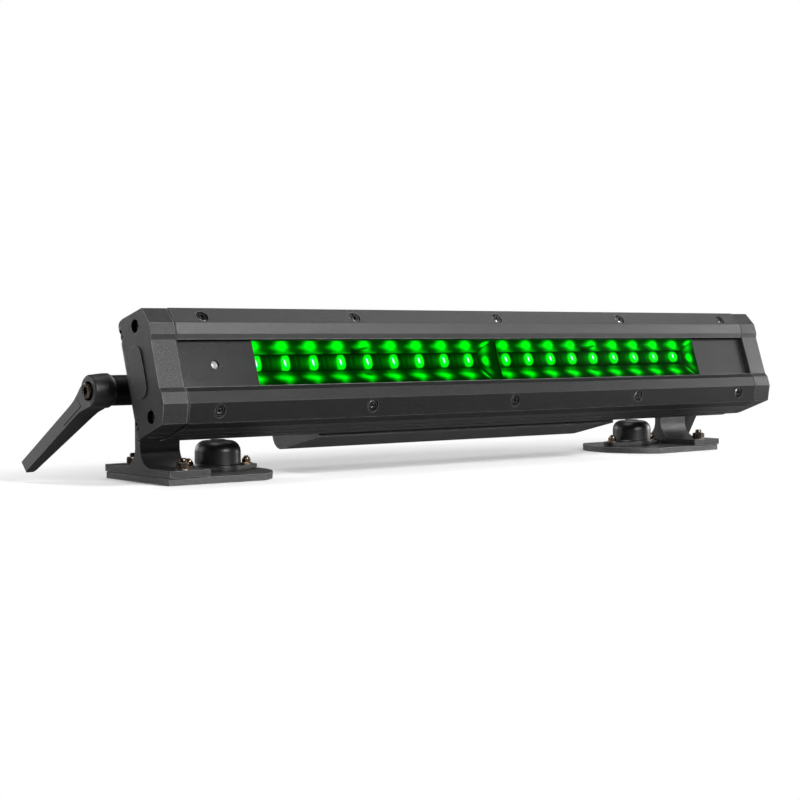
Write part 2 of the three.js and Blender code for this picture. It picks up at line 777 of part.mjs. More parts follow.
// Toothed insert and threaded stud in one piece, bored for the retaining screw.
function clampStud() {
  const insertEnd = -13;
  const studEnd = earInner - lampHalfLength - 1.3;
  const toothed = 16;
  const teeth = new THREE.Shape();
  for (let i = 0; i < toothed * 2; i += 1) {
    const radius = i % 2 ? toothedRadius : toothedRadius - 0.6;
    const angle = (i / (toothed * 2)) * 2 * Math.PI;
    const point = [radius * Math.cos(angle), radius * Math.sin(angle)];
    if (i === 0) teeth.moveTo(...point);
    else teeth.lineTo(...point);
  }
  teeth.closePath();
  const shank = turned([[0, studEnd], [studRadius - 0.7, studEnd], [studRadius, studEnd + 0.7],
    [studRadius, insertEnd], [insertRadius, insertEnd], [insertRadius, -2.6], [0, -2.6]], axisX, 20);
  const bore = bar(3.25, -10, 1, axisX, 14);
  return cut(join(shank, alongX(teeth, -3, -0.4)), bore);
}

function retainingScrew() {
  const body = turned([[0, -9.4], [3, -9.4], [3, screwHeadUnderside], [5, screwHeadUnderside],
    [5, screwHeadTop - 0.5], [4.5, screwHeadTop], [0, screwHeadTop]], axisX, 20);
  return cut(body, hexBar(5, screwHeadTop - 3, screwHeadTop + 1, axisX));
}

class Helix extends THREE.Curve {
  constructor(radius, length, turns) {
    super();
    this.radius = radius;
    this.length = length;
    this.turns = turns;
  }

  getPoint(t, target = new THREE.Vector3()) {
    const angle = t * this.turns * 2 * Math.PI;
    return target.set(t * this.length, this.radius * Math.cos(angle), this.radius * Math.sin(angle));
  }
}

function liftSpring() {
  const wire = 0.35;
  const turns = 2.25;
  const section = new THREE.Shape();
  section.absarc(0, 0, wire, 0, 2 * Math.PI, false);
  const start = ledgeOuter + 0.2 + wire;
  const end = screwHeadUnderside - 0.2 - wire;
  const path = new Helix(4.5, end - start, turns);
  return new THREE.ExtrudeGeometry(section, {
    extrudePath: path, steps: Math.round(turns * 14), curveSegments: 3, bevelEnabled: false,
  }).translate(start, 0, 0);
}

// ---- assembly ----

addPart(lamp, 'housing_extrusion', housing(), powderCoat);
for (const [name, side] of [['top', 1], ['bottom', -1]]) {
  addPart(lamp, `${name}_clamp_rail`, clampRail(side), powderCoat);
  railScrewX.forEach((x, i) => {
    addPart(lamp, `${name}_rail_screw_${i + 1}`, railScrew(side, x), blackSteel);
  });
}
addPart(lamp, 'front_glass', glassPane(), clearGlass);
addPart(lamp, 'glass_gasket', glassGasket(), blackRubber);
addPart(lamp, 'remote_receiver', remoteReceiver(), zincSteel);
addPart(lamp, 'driver_box_cover', driverCover(), powderCoat);
addPart(lamp, 'driver_box_gasket', driverGasket(), blackRubber);
addPart(lamp, 'power_supply', powerSupply(), grilledSteel);
addPart(lamp, 'control_board', controlBoard(), greenBoard);
addPart(lamp, 'display_window', displayWindow(), clearGlass);
buttonX.forEach((x, i) => addPart(lamp, `menu_button_${i + 1}`, menuButton(x), blackRubber));
const socketNames = [['power_inlet', 3], ['power_outlet', 3], ['data_inlet', 5], ['data_outlet', 5]];
socketNames.forEach(([name, pins], i) => {
  addPart(lamp, name, panelSocket(socketX[i], pins), blackPlastic);
});
addPart(lamp, 'vent_plug', ventPlug(), blackPlastic);

// Everything that comes in a left and a right version.
const footGroup = new THREE.Group();
footGroup.position.set(0, pivotY, 0);
batten.add(footGroup);

for (const side of ['left', 'right']) {
  const sided = (geometry) => (side === 'left' ? geometry : mirrored(geometry));
  addPart(lamp, `${side}_end_cap`, sided(endCap()), powderCoat);
  addPart(lamp, `${side}_cap_seal`, sided(capSeal()), blackRubber);
  addPart(lamp, `${side}_pivot_lug`, sided(pivotLug()), powderCoat);
  addPart(lamp, `${side}_reflector`, side === 'left' ? mirrored(reflector()) : reflector(), reflectorFoil);
  addPart(lamp, `${side}_led_board`, side === 'left' ? mirrored(ledBoard()) : ledBoard(), whiteBoard);

  addPart(footGroup, `${side}_foot_plate`, sided(footPlate()), powderCoat);
  addPart(footGroup, `${side}_t_bracket`, sided(tBracket()), powderCoat);
  addPart(footGroup, `${side}_lock_receptacle`, sided(lockReceptacle()), blackPlastic);
  addPart(footGroup, `${side}_spacer_sleeve`, sided(spacerSleeve()), blackPlastic);
  addPart(footGroup, `${side}_front_bolt`, sided(bracketBolt(-1)), bronzeSteel);
  addPart(footGroup, `${side}_rear_bolt`, sided(bracketBolt(1)), bronzeSteel);

  // The lever's parts are drawn pointing outwards along +X, so the left ones are the mirrored ones.
  const lever = new THREE.Group();
  const outward = side === 'left' ? -1 : 1;
  const leverSided = (geometry) => (side === 'left' ? mirrored(geometry) : geometry);
  lever.position.set(outward * lampHalfLength, pivotY, pivotHeight);
  lever.rotation.x = leverAngle;
  batten.add(lever);
  addPart(lever, `${side}_lever_handle`, leverSided(leverHandle()), leverCoat);
  addPart(lever, `${side}_clamp_stud`, leverSided(clampStud()), zincSteel);
  addPart(lever, `${side}_lift_spring`, leverSided(liftSpring()), zincSteel);
  addPart(lever, `${side}_retaining_screw`, leverSided(retainingScrew()), bronzeSteel);
}

export default batten;
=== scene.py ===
import json
import math
import bpy
import bmesh
from mathutils import Matrix, Vector


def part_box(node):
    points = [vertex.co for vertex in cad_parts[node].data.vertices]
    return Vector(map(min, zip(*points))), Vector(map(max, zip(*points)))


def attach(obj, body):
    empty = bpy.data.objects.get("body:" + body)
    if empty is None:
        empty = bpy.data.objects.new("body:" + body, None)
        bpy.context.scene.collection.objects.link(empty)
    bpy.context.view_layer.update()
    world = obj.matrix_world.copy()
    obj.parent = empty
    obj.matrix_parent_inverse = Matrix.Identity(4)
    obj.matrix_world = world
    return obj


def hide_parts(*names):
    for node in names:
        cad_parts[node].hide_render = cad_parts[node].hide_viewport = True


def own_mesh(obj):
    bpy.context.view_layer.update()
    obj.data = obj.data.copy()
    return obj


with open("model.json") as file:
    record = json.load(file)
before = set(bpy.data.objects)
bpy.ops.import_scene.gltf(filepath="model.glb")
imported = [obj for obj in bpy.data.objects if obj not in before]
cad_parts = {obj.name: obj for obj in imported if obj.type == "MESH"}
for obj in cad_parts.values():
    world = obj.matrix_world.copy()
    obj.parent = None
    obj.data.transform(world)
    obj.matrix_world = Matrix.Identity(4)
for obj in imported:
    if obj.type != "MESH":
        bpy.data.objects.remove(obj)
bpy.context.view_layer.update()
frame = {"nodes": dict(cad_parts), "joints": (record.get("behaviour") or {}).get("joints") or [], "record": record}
nodes = frame["nodes"]
joints = {j["name"]: j for j in frame["joints"]}

MM = 0.001
SIDES = (("left", -1), ("right", 1))

# ---------------------------------------------------------------- the lamp's own frame
# x along the lamp, depth behind its front plane, height along its front, in millimetres.
# The tilt pivot lies PIVOT_DEPTH behind the front plane and PIVOT_RISE above its middle.
PIVOT = Vector(joints["left_foot_tilt"]["pos_m"])
FORWARD = Vector(joints["menu_button_1_press"]["axis"]).normalized()
BACK = -FORWARD
UP = Vector((1, 0, 0)).cross(BACK)
PIVOT_DEPTH = 63.4
PIVOT_RISE = 3.0
HALF_LAMP = 275.0


def lamp_point(x, depth, height):
    """A place on the lamp, in metres, from its place in the lamp's own frame."""
    offset = BACK * (depth - PIVOT_DEPTH) * MM + UP * (height - PIVOT_RISE) * MM
    return Vector((x * MM, PIVOT.y, PIVOT.z)) + offset


def foot_point(x, y, z):
    """A place on the feet: y from the pivot and z from the floor, in millimetres."""
    return Vector((x * MM, PIVOT.y + y * MM, z * MM))


# ---------------------------------------------------------------- node helpers
class Nodes:
    """A material with short names for the nodes that it is made of."""

    def __init__(self, name):
        self.material = bpy.data.materials.new(name)
        self.material.use_nodes = True
        self.tree = self.material.node_tree
        self.shader = self.tree.nodes["Principled BSDF"]
        self.coords = self.add("ShaderNodeTexCoord").outputs["Object"]

    def add(self, kind, **values):
        node = self.tree.nodes.new(kind)
        for key, value in values.items():
            setattr(node, key, value)
        return node

    def link(self, out, into):
        self.tree.links.new(out, into)

    def put(self, socket, value):
        if isinstance(value, bpy.types.NodeSocket):
            self.link(value, socket)
        else:
            socket.default_value = value

    def noise(self, scale, detail=2.0, rough=0.5, stretch=None):
        node = self.add("ShaderNodeTexNoise")
        node.inputs["Scale"].default_value = scale
        node.inputs["Detail"].default_value = detail
        node.inputs["Roughness"].default_value = rough
        source = self.coords
        if stretch:
            mapping = self.add("ShaderNodeMapping")
            mapping.inputs["Scale"].default_value = stretch
            self.link(self.coords, mapping.inputs["Vector"])
            source = mapping.outputs["Vector"]
        self.link(source, node.inputs["Vector"])
        return node.outputs["Fac"]

    def ramp(self, value, low, high, to_low=0.0, to_high=1.0):
        node = self.add("ShaderNodeMapRange")
        self.put(node.inputs["Value"], value)
        node.inputs["From Min"].default_value = low
        node.inputs["From Max"].default_value = high
        node.inputs["To Min"].default_value = to_low
        node.inputs["To Max"].default_value = to_high
        return node.outputs["Result"]

    def mix(self, factor, first, second):
        node = self.add("ShaderNodeMix", data_type="RGBA")
        self.put(node.inputs[0], factor)
        self.put(node.inputs[6], rgba(first) if isinstance(first, tuple) else first)
        self.put(node.inputs[7], rgba(second) if isinstance(second, tuple) else second)
        return node.outputs[2]

    def math(self, operation, first, second):
        node = self.add("ShaderNodeMath", operation=operation)
        self.put(node.inputs[0], first)
        self.put(node.inputs[1], second)
        return node.outputs[0]

    def bump(self, height, strength, distance_mm):
        node = self.add("ShaderNodeBump")
        node.inputs["Strength"].default_value = strength
        node.inputs["Distance"].default_value = distance_mm * MM
        self.link(height, node.inputs["Height"])
        self.link(node.outputs["Normal"], self.shader.inputs["Normal"])

    def rim(self, radius_mm=0.45):
        """1 within a radius of any sharp edge and 0 on the open faces."""
        bevel = self.add("ShaderNodeBevel", samples=4)
        bevel.inputs["Radius"].default_value = radius_mm * MM
        geometry = self.add("ShaderNodeNewGeometry")
        dot = self.add("ShaderNodeVectorMath", operation="DOT_PRODUCT")
        self.link(bevel.outputs["Normal"], dot.inputs[0])
        self.link(geometry.outputs["Normal"], dot.inputs[1])
        return self.ramp(dot.outputs["Value"], 0.9, 0.995, 1.0, 0.0)

    def edges(self, low, high):
        """0 on flat and hollow places, rising to 1 on the sharpest outer edges."""
        geometry = self.add("ShaderNodeNewGeometry")
        return self.ramp(geometry.outputs["Pointiness"], low, high)


def rgba(colour):
    return (*colour, 1.0)


def grey(value):
    return (value, value, value)


def shade(colour, factor):
    return tuple(c * factor for c in colour)


def powder_coat(name, base, painted_edge_highlight, rough=(0.36, 0.46), grain=950, strength=1.0, specular=0.5):
    """Fine textured powder coat: sand-like grain, a trace of clouding, and a painted highlight along its sharp
    edges.
    """
    n = Nodes(name)
    fine = n.noise(grain, 4.0, 0.65)
    cloud = n.noise(14, 2.0)
    speck = n.mix(n.ramp(fine, 0.38, 0.66), shade(base, 0.6), shade(base, 1.4))
    clouded = n.mix(n.ramp(cloud, 0.35, 0.65, 0.0, 0.3), speck, shade(base, 0.88))
    # Painted highlight: a patchy rim along every sharp edge takes the paler colour.
    painted_highlight_mask = n.math("MULTIPLY", n.rim(), n.ramp(n.noise(160, 3.0), 0.35, 0.65, 0.45, 1.0))
    n.link(n.mix(painted_highlight_mask, clouded, painted_edge_highlight), n.shader.inputs["Base Color"])
    n.link(n.ramp(n.noise(grain * 1.3, 2.0), 0.3, 0.7, *rough), n.shader.inputs["Roughness"])
    n.shader.inputs["Specular IOR Level"].default_value = specular
    n.bump(fine, strength, 0.3)
    return n.material


def moulded(name, base, rough, specular=0.5, grain=900, strength=0.12, sheen_scale=70):
    """Moulded plastic or rubber: faint flow marks, uneven gloss and a slight orange peel."""
    n = Nodes(name)
    flow = n.noise(sheen_scale, 3.0)
    colour = n.mix(n.ramp(flow, 0.35, 0.65), shade(base, 0.8), shade(base, 1.25))
    n.link(colour, n.shader.inputs["Base Color"])
    n.link(n.ramp(n.noise(sheen_scale * 2.2, 4.0), 0.3, 0.7, *rough), n.shader.inputs["Roughness"])
    n.shader.inputs["Specular IOR Level"].default_value = specular
    n.bump(n.noise(grain, 2.0), strength, 0.08)
    return n.material


def plated(name, base, dull, rough, stretch=(1, 1, 1), bright=None):
    """Plated or passivated metal: streaked gloss, dull patches and a painted highlight on its edges."""
    n = Nodes(name)
    streak = n.noise(700, 4.0, 0.6, stretch)
    patch = n.noise(220, 3.0)
    body = n.mix(n.ramp(patch, 0.4, 0.62), base, dull)
    # Painted highlight: the edges take the bright colour, along a bevelled rim if bright is given, else at pointed
    # vertices.
    painted_edge_highlight = n.rim(0.35) if bright else n.edges(0.52, 0.6)
    bright = bright or tuple(min(1.0, c * 1.5) for c in base)
    n.link(n.mix(painted_edge_highlight, body, bright), n.shader.inputs["Base Color"])
    n.shader.inputs["Metallic"].default_value = 1.0
    n.link(n.ramp(streak, 0.3, 0.7, *rough), n.shader.inputs["Roughness"])
    n.bump(streak, 0.1, 0.05)
    return n.material


def clear_glass(name, tint, rough, alpha=1.0):
    """Glass with faintly uneven gloss. It refracts, or with an alpha it only reflects and lets light past."""
    n = Nodes(name)
    n.shader.inputs["Base Color"].default_value = rgba(tint)
    if alpha < 1.0:
        n.shader.inputs["Alpha"].default_value = alpha
    else:
        n.shader.inputs["Transmission Weight"].default_value = 1.0
    n.shader.inputs["IOR"].default_value = 1.48
    n.link(n.ramp(n.noise(35, 3.0), 0.3, 0.75, rough * 0.5, rough * 1.6), n.shader.inputs["Roughness"])
    n.bump(n.noise(14, 1.0), 0.02, 0.05)
    return n.material


def glowing(name):
    """A mirror trough with the LEDs' reflections and light painted on it as glow: the glow is a colour of each
    vertex.
    """
    n = Nodes(name)
    glow = n.add("ShaderNodeAttribute", attribute_name="glow")
    grainy = n.ramp(n.noise(900, 3.0), 0.2, 0.8, 0.9, 1.1)
    tinted = n.add("ShaderNodeVectorMath", operation="SCALE")
    n.link(glow.outputs["Color"], tinted.inputs[0])
    n.link(grainy, tinted.inputs["Scale"])
    n.shader.inputs["Base Color"].default_value = (0.0, 0.004, 0.0, 1)
    n.shader.inputs["Roughness"].default_value = 0.5
    n.shader.inputs["Specular IOR Level"].default_value = 0.0
    n.link(tinted.outputs["Vector"], n.shader.inputs["Emission Color"])
    n.shader.inputs["Emission Strength"].default_value = 1.0
    n.bump(n.noise(400, 2.0), 0.05, 0.05)
    return n.material


def lit(name, colour, strength):
    """A surface that shines by itself, a little unevenly."""
    n = Nodes(name)
    uneven = n.ramp(n.noise(800, 2.0), 0.3, 0.7, 0.85, 1.0)
    tinted = n.add("ShaderNodeVectorMath", operation="SCALE")
    tinted.inputs[0].default_value = colour
    n.link(uneven, tinted.inputs["Scale"])
    n.shader.inputs["Base Color"].default_value = (0.0, 0.02, 0.0, 1)
    n.shader.inputs["Specular IOR Level"].default_value = 0.1
    n.link(tinted.outputs["Vector"], n.shader.inputs["Emission Color"])
    n.shader.inputs["Emission Strength"].default_value = strength
    return n.material


# Coats: the base colour, then the colour of the painted highlight along its edges.
COAT = powder_coat("powder_coat", grey(0.013), grey(0.24))
# Painted shade: the bottom rail's copy of the coat is darker and less glossy than the rest.
SHADED_LOW_COAT = powder_coat("powder_coat_lower_painted_shade", grey(0.006), grey(0.24), specular=0.17)
# Painted shade: the end caps' copy of the coat is a little darker and less glossy than the rest.
SHADED_CAP_COAT = powder_coat("powder_coat_cap_painted_shade", grey(0.012), grey(0.24), specular=0.3)
# Painted light: a paler copy of the coat that lightens the foot plates and the driver box cover.
LIT_PALE_COAT = powder_coat("powder_coat_pale_painted_light", grey(0.045), grey(0.22))
LEVER_COAT = powder_coat("lever_coat", grey(0.024), grey(0.07), rough=(0.36, 0.44), grain=3200, strength=0.12)
# Metals: the base colour, the colour of its dull patches, and its least and greatest roughness.
# bright, where given, is the colour of a painted highlight on the edges; else the base is made brighter.
SCREW_BLACK = plated("black_oxide", grey(0.05), grey(0.02), (0.3, 0.48))
RAIL_SCREW = plated("black_oxide_painted_rim_highlight", grey(0.014), grey(0.007), (0.24, 0.36), bright=grey(0.9))
BRONZE = plated("bronze_passivate", (0.12, 0.088, 0.068), (0.03, 0.023, 0.019), (0.14, 0.3),
                bright=(0.7, 0.58, 0.48))
BRASS = plated("brass_nut", (0.2, 0.14, 0.09), (0.05, 0.036, 0.026), (0.16, 0.32), bright=(0.85, 0.66, 0.46))
ZINC = plated("zinc_plate", grey(0.55), grey(0.35), (0.2, 0.4), stretch=(1, 6, 6))
STEEL_CASE = plated("folded_steel", grey(0.5), grey(0.38), (0.3, 0.5), stretch=(8, 1, 1))
# Plastics, rubber and enamel: the base colour, the roughness and the specular level.
DOME_BLACK = moulded("gloss_black_enamel", grey(0.006), (0.32, 0.42), 0.45, strength=0.1)
RUBBER = moulded("black_rubber", grey(0.016), (0.6, 0.8), 0.3, grain=1500, strength=0.25)
PLASTIC = moulded("black_plastic", grey(0.018), (0.32, 0.45), 0.45, grain=1400, strength=0.15)
SLEEVE_BLACK = moulded("black_anodised_sleeve", grey(0.006), (0.34, 0.46), 0.25, strength=0.08)
INK = moulded("printed_border", grey(0.014), (0.2, 0.24), 0.5, grain=300, strength=0.003, sheen_scale=12)
BOARD_GREEN = moulded("solder_mask", (0.02, 0.13, 0.05), (0.3, 0.45), 0.5)
SENSOR = moulded("sensor_lens", grey(0.26), (0.1, 0.2), 0.6)
# Glass, and what shines.
WINDOW = clear_glass("smoked_window", (0.25, 0.27, 0.28), 0.03)
GLASS = clear_glass("front_glass", (0.0, 0.002, 0.0015), 0.11, alpha=0.03)
GLOW = glowing("glowing_reflector")
LED_BASE = lit("led_package", (0.0, 1.0, 0.0), 1.25)

# ---------------------------------------------------------------- CAD nodes: materials and rounded edges
FINISHES = {
    "powder_coat": COAT, "plate_coat": LIT_PALE_COAT, "lever_coat": LEVER_COAT,
    "front_glass": GLASS, "window_glass": WINDOW,
    "black_rubber": RUBBER, "black_gloss": DOME_BLACK, "black_plastic": PLASTIC,
    "reflector_foil": GLOW, "led_board": LED_BASE, "circuit_board": BOARD_GREEN,
    "black_steel": SCREW_BLACK, "bronze_steel": BRONZE, "zinc_steel": ZINC, "supply_steel": STEEL_CASE,
}
# Nodes with another material than the one their slot has. Some are copies of the coat with painted shade or
# painted light.
SPECIAL = {
    "remote_receiver": SENSOR, "bottom_clamp_rail": SHADED_LOW_COAT, "driver_box_cover": LIT_PALE_COAT,
    **{f"{side}_spacer_sleeve": SLEEVE_BLACK for side, _ in SIDES},
    **{f"{side}_end_cap": SHADED_CAP_COAT for side, _ in SIDES},
    **{f"{row}_rail_screw_{i}": RAIL_SCREW for row in ("top", "bottom") for i in range(1, 6)},
}
# Widths of the rounded edges, in millimetres. A node that is not named keeps its edges.
SIDE_BEVELS = {
    "end_cap": 0.5, "foot_plate": 0.35, "t_bracket": 0.4, "pivot_lug": 0.5, "lever_handle": 0.7,
    "lock_receptacle": 0.3,
}
BEVELS = {
    "housing_extrusion": 0.35, "top_clamp_rail": 0.4, "bottom_clamp_rail": 0.4, "driver_box_cover": 0.6,
    "power_inlet": 0.3, "power_outlet": 0.3, "data_inlet": 0.3, "data_outlet": 0.3, "vent_plug": 0.3,
    **{f"{side}_{name}": width for side, _ in SIDES for name, width in SIDE_BEVELS.items()},
}
# An edge is rounded where its faces turn by more than this, in degrees. The lamp's long faces meet at
# shallow angles, so its nodes have a smaller limit. An edge that is only split needs a sharper turn.
TURN = 32.0
SHALLOW_TURN = 21.0
SPLIT_EXTRA = 4.0
SAME_PLANE = 1.0
SAME_POINT = 0.002 * MM
SHALLOW = {"housing_extrusion", "top_clamp_rail", "bottom_clamp_rail", "left_end_cap", "right_end_cap"}


def shade_smooth(obj):
    for face in obj.data.polygons:
        face.use_smooth = True


def soften(obj, bevel_mm=0.0, angle=TURN):
    """Rounds the sharp edges and shades the rest smoothly, without touching the stored mesh."""
    shade_smooth(obj)
    if "custom_normal" in obj.data.attributes:
        obj.data.attributes.remove(obj.data.attributes["custom_normal"])
    weld = obj.modifiers.new("weld", "WELD")
    weld.merge_threshold = SAME_POINT
    if bevel_mm:
        flat = obj.modifiers.new("flat", "DECIMATE")
        flat.decimate_type = "DISSOLVE"
        flat.angle_limit = math.radians(SAME_PLANE)
        bevel = obj.modifiers.new("bevel", "BEVEL")
        bevel.width = bevel_mm * MM
        bevel.segments = 2
        bevel.limit_method = "ANGLE"
        bevel.angle_limit = math.radians(angle)
        bevel.use_clamp_overlap = True
    else:
        split = obj.modifiers.new("split", "EDGE_SPLIT")
        split.split_angle = math.radians(angle + SPLIT_EXTRA)
    normal = obj.modifiers.new("normal", "WEIGHTED_NORMAL")
    normal.mode = "FACE_AREA"
    normal.weight = 100
    normal.keep_sharp = True


for part in frame["record"]["subparts"]:
    node = nodes[part["node"]]
    node.data.materials.clear()
    node.data.materials.append(SPECIAL.get(part["node"], FINISHES[part["material_slot"]]))
    soften(node, BEVELS.get(part["node"], 0.0), SHALLOW_TURN if part["node"] in SHALLOW else TURN)


# ---------------------------------------------------------------- mesh helpers
ROUND = 32      # segments of a turned body


def piece(name, bm, material, body, smooth=True):
    """Makes a mesh into an object that rides on a body, with rounded shading if smooth is set."""
    bmesh.ops.recalc_face_normals(bm, faces=bm.faces)
    mesh = bpy.data.meshes.new(name)
    bm.to_mesh(mesh)
    bm.free()
    mesh.materials.append(material)
    obj = bpy.data.objects.new(name, mesh)
    bpy.context.scene.collection.objects.link(obj)
    if smooth:
        soften(obj)
    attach(obj, body)
    return obj


def axes_for(axis):
    """Two directions square to an axis, and the axis itself."""
    axis = Vector(axis).normalized()
    side = axis.cross(Vector((0, 0, 1)) if abs(axis.z) < 0.9 else Vector((0, 1, 0))).normalized()
    return side, axis.cross(side).normalized(), axis


def skin(bm, rows, closed=False):
    """Adds the faces between rows of vertices. Each row is a ring if closed is set."""
    for a, b in zip(rows, rows[1:]):
        for i in range(len(a) if closed else len(a) - 1):
            j = (i + 1) % len(a)
            bm.faces.new([a[i], a[j], b[j], b[i]])


def ring_of(bm, centre, axes, along, radius_at, count=ROUND):
    """Adds a ring of vertices round an axis. radius_at gives each one's radius from its angle."""
    u, v, w = axes
    ring = []
    for i in range(count):
        a = 2 * math.pi * i / count
        outward = (u * math.cos(a) + v * math.sin(a)) * radius_at(a) * MM
        ring.append(bm.verts.new(centre + outward + w * along * MM))
    return ring


def lathe(bm, profile, centre, axis, segments=ROUND):
    """Adds a turned body: [radius, distance along the axis] pairs in millimetres."""
    axes = axes_for(axis)
    rings = []
    for radius, along in profile:
        if radius:
            rings.append(ring_of(bm, centre, axes, along, lambda a: radius, segments))
        else:
            rings.append([bm.verts.new(centre + axes[2] * along * MM)])
    for low, high in zip(rings, rings[1:]):
        if len(low) == len(high):
            skin(bm, [low, high], closed=True)
            continue
        tip, ring = (low[0], high) if len(low) == 1 else (high[0], low)
        for i in range(segments):
            bm.faces.new([tip, ring[i], ring[(i + 1) % segments]])


def corner_radius(flats):
    """A hexagon's radius to its corners, from its size across flats."""
    return flats / 2 / math.cos(math.pi / 6)


def socket_screw(bm, centre, axis, head_radius, low, top, hex_flats, depth):
    """A cap screw's head with a hexagonal recess, open towards the axis."""
    axes = axes_for(axis)
    chamfer = 0.35
    lip = corner_radius(hex_flats) + 0.15
    lathe(bm, [(head_radius, low), (head_radius, top - chamfer), (head_radius - chamfer, top), (lip, top)],
          centre, axis)

    def hexagon(scale):
        return lambda a: hex_flats / 2 / math.cos((a % (math.pi / 3)) - math.pi / 6) * scale

    rings = [ring_of(bm, centre, axes, along, hexagon(scale))
             for along, scale in ((top, 1.0), (top - depth, 1.0), (top - depth - 0.4, 0.35))]
    skin(bm, [ring_of(bm, centre, axes, top, lambda a: lip), *rings], closed=True)
    bm.faces.new(rings[-1])


def hex_nut(bm, centre, axis, flats, low, high, twist):
    """Adds a nut, turned by a twist in radians, with both its ends chamfered."""
    u, v, w = axes_for(axis)
    chamfer = 0.45
    radius = corner_radius(flats)
    rings = []
    for r, along in ((radius - chamfer, low), (radius, low + chamfer),
                     (radius, high - chamfer), (radius - chamfer, high)):
        corners = [twist + i * math.pi / 3 for i in range(6)]
        rings.append([bm.verts.new(centre + (u * r * math.cos(a) + v * r * math.sin(a) + w * along) * MM)
                      for a in corners])
    skin(bm, rings, closed=True)
    bm.faces.new(rings[0][::-1])
    bm.faces.new(rings[-1])


# ---------------------------------------------------------------- optics
PITCH = 21.86
LED_COUNT = 9           # in each module
FIRST_LED = 17.5        # from the lamp's middle
LEDS = [FIRST_LED + i * PITCH for i in range(LED_COUNT)]
LIT_HALF = 192.0        # from the lamp's middle to its last LED, nearly
DOME_DEPTH = 13.3       # front of the LEDs' domes
GLASS_BACK = 3.6
MODULE_START = 0.3
MODULE_LENGTH = 209.2
# The heights at which each wall's mouth and floor edges are seen, and the floor's middle and half height.
UPPER_WALL = (14.9, 6.25)
LOWER_WALL = (-14.3, -4.55)
FLOOR_MIDDLE = 4.2
FLOOR_HALF = 5.4
# The trough at its mouth, half-way in and at its floor: depth, end inset, lowest and highest height.
SECTIONS = ((5.45, 0.75, -14.65, 15.4), (11.0, 3.2, -10.6, 13.5), (15.4, 8.2, -1.2, 9.6))


def trough_section(t):
    """Depth, end inset, lowest and highest height of the trough, from its mouth (0) to its floor (1)."""
    mouth, middle, ground = ((t - 0.5) * (t - 1) * 2, -4 * t * (t - 1), 2 * t * (t - 0.5))
    return [mouth * a + middle * b + ground * c for a, b, c in zip(*SECTIONS)]


def bell(value, width):
    """1 at zero, falling away smoothly on both sides."""
    return math.exp(-(value / width) ** 2)


def edge(value, softness):
    """1 well below zero, 0 well above it."""
    steepest = 40.0
    return 1 / (1 + math.exp(max(-steepest, min(steepest, value / softness))))


def clamp(value):
    return max(0.0, min(1.0, value))


# The trough is a mirror, and the LEDs' reflections in it are painted on as blobs of glow. Each LED's blobs
# slide along it with depth: they are drawn where a person standing to the left of the lamp sees them. The
# sight line slides along the lamp by SLIDE for each millimetre of depth at the lamp's middle, by SLIDE_GROWTH
# more for each millimetre further right, and down the front by DROP. HANDOVER is how far left of half-way
# between two LEDs, in pitches, the light of one gives way to the light of the next.
SLIDE = 0.945
SLIDE_GROWTH = 0.0012
DROP = 0.284
HANDOVER = 0.17


def offset_from_led(x, depth, module_sign):
    """Distance from the LED that lights this place, in pitches, and its number from the module's left end."""
    seen = x + (SLIDE + SLIDE_GROWTH * x) * (DOME_DEPTH - depth)
    i = min(range(LED_COUNT), key=lambda k: abs(module_sign * LEDS[k] - seen - HANDOVER * PITCH))
    order = i if module_sign > 0 else LED_COUNT - 1 - i
    return (seen - module_sign * LEDS[i]) / PITCH, order


def wall_share(depth, height, first, last):
    """How far across a wall a point seems to be, from the mouth (0) to the floor (1)."""
    seen = height - DROP * (depth - GLASS_BACK)
    return (seen - first) / (last - first)


def rightness(x):
    """Share of the way from the left end of the LEDs (0) to the right end (1)."""
    return clamp((x + LIT_HALF) / (2 * LIT_HALF))


def led_lag(x):
    """How far left of its LED a light on the dome is seen, in pitches."""
    return 0.117 if x < 0 else 0.114 + 0.00053 * (x - FIRST_LED)


def leaf(right, down, slant, length, width):
    """A soft leaf shape round the origin, turned by a slant in radians."""
    along = right * math.cos(slant) + down * math.sin(slant)
    aside = down * math.cos(slant) - right * math.sin(slant)
    return edge(math.hypot(along / length, aside / width) - 0.85, 0.14)


# The glow functions paint the LEDs' reflections and light on the trough's walls, floor and ends.
# In the glow functions, dx and u run along the lamp in pitches, f runs across a wall from the mouth (0)
# to the floor (1), s runs up the floor from its middle, and q runs from the lamp's left (0) to its
# right (1). The middle LED's blobs have a dark hook in them, and the last one's has a leaf beside it.
MIDDLE_LED = LED_COUNT // 2
LAST_LED = LED_COUNT - 1


